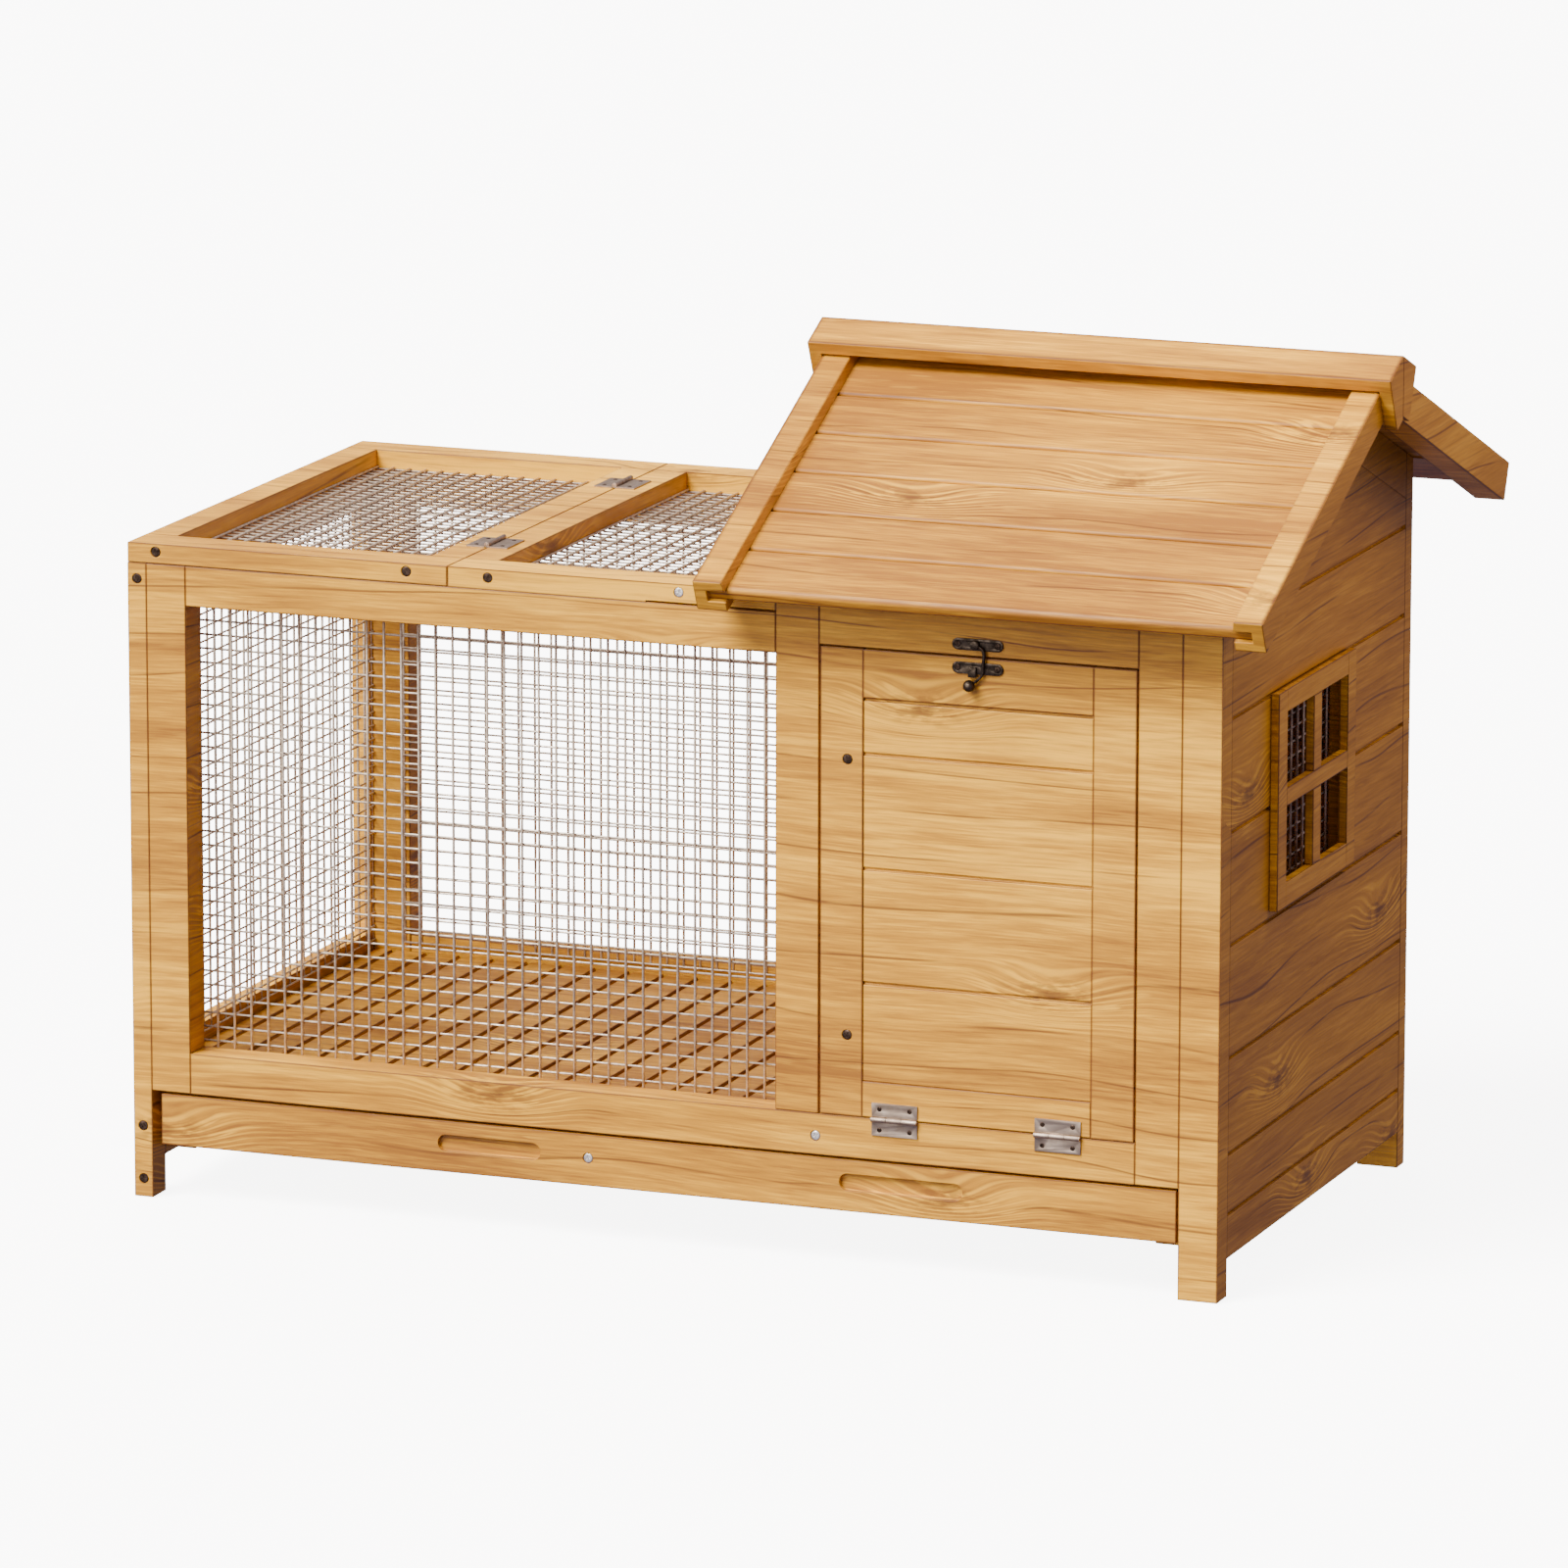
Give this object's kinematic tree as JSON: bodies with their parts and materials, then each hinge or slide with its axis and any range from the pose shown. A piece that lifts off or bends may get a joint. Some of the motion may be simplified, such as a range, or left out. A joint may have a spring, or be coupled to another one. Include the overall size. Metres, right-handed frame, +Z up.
{
  "type": "rabbit hutch",
  "caption": "Low wooden rabbit hutch: wire run with a lift-up lid beside a boarded house with pitched roof, drop-down front door, hook latch and pull-out drawer.",
  "frame": {"origin": "on the floor, at the middle of everything the hutch covers, roof overhangs included", "axes": "+X along the length from the run to the house, +Y from the door side to the back, +Z up"},
  "size_m": [0.9586, 0.5958, 0.6927],
  "materials": {
    "pine": "honey coloured pine, satin",
    "tray_board": "thin plywood, matt",
    "wire": "galvanised welded wire",
    "nickel": "nickel plated",
    "bronze": "dark antique bronze",
    "dark_screw": "blackened steel",
    "bright_screw": "bright zinc"
  },
  "bodies": {
    "hutch": {"front_legs": "pine", "back_legs": "pine", "front_stiles": "pine", "front_bottom_rail": "pine", "front_top_rail": "pine", "house_post": "pine", "door_head": "pine", "eave_plates": "pine", "door_stops": "pine", "left_rails": "pine", "back_posts": "pine", "back_rails": "pine", "run_front_mesh": "wire", "run_back_mesh": "wire", "run_left_mesh": "wire", "floor_slats": "pine", "floor_bearers": "pine", "drawer_runners": "pine", "right_wall_boards": "pine", "gable_rafters": "pine", "wall_battens": "pine", "divider_boards": "pine", "back_wall_boards": "pine", "window_frame": "pine", "window_mesh": "wire", "roof_front_boards": "pine", "roof_back_boards": "pine", "bargeboards_front": "pine", "bargeboards_back": "pine", "ridge_cap": "pine", "ridge_beam": "pine", "fixed_top_rails": "pine", "fixed_top_stiles": "pine", "fixed_top_mesh": "wire", "lid_hinge_fixed_leaves": "nickel", "lid_hinge_pins": "nickel", "door_hinge_frame_leaves": "nickel", "door_hinge_pins": "nickel", "latch_plate": "bronze", "frame_screws_dark": "dark_screw", "frame_screws_bright": "bright_screw", "frame_hinge_screws": "dark_screw"},
    "run_lid": {"lid_rails": "pine", "lid_stiles": "pine", "lid_mesh": "wire", "lid_hinge_leaves": "nickel", "lid_screws": "dark_screw", "lid_hinge_screws": "dark_screw"},
    "front_door": {"door_stiles": "pine", "door_rails": "pine", "door_boards": "pine", "door_hinge_leaves": "nickel", "catch_plate": "bronze", "door_screws": "dark_screw", "door_hinge_screws": "dark_screw"},
    "latch_swing": {"latch_arm": "bronze"},
    "pull_out_drawer": {"drawer_front": "pine", "drawer_box": "pine", "drawer_floor": "tray_board", "drawer_screw": "bright_screw"}
  },
  "joints": [
    {"name": "lid_hinge", "type": "hinge", "parent": "hutch", "child": "run_lid", "pos_m": [-0.2095, -0.01465, 0.5272], "axis": [0, 1, 0], "range_deg": [0, 110]},
    {"name": "door_hinge", "type": "hinge", "parent": "hutch", "child": "front_door", "pos_m": [0.2253, -0.24805, 0.1192], "axis": [1, 0, 0], "range_deg": [0, 90]},
    {"name": "latch_pivot", "type": "hinge", "parent": "hutch", "child": "latch_swing", "pos_m": [0.2238, -0.24865, 0.4958], "axis": [0, -1, 0], "range_deg": [0, 100]},
    {"name": "drawer_slide", "type": "slide", "parent": "hutch", "child": "pull_out_drawer", "axis": [0, -1, 0], "range_m": [0, 0.34]}
  ]
}
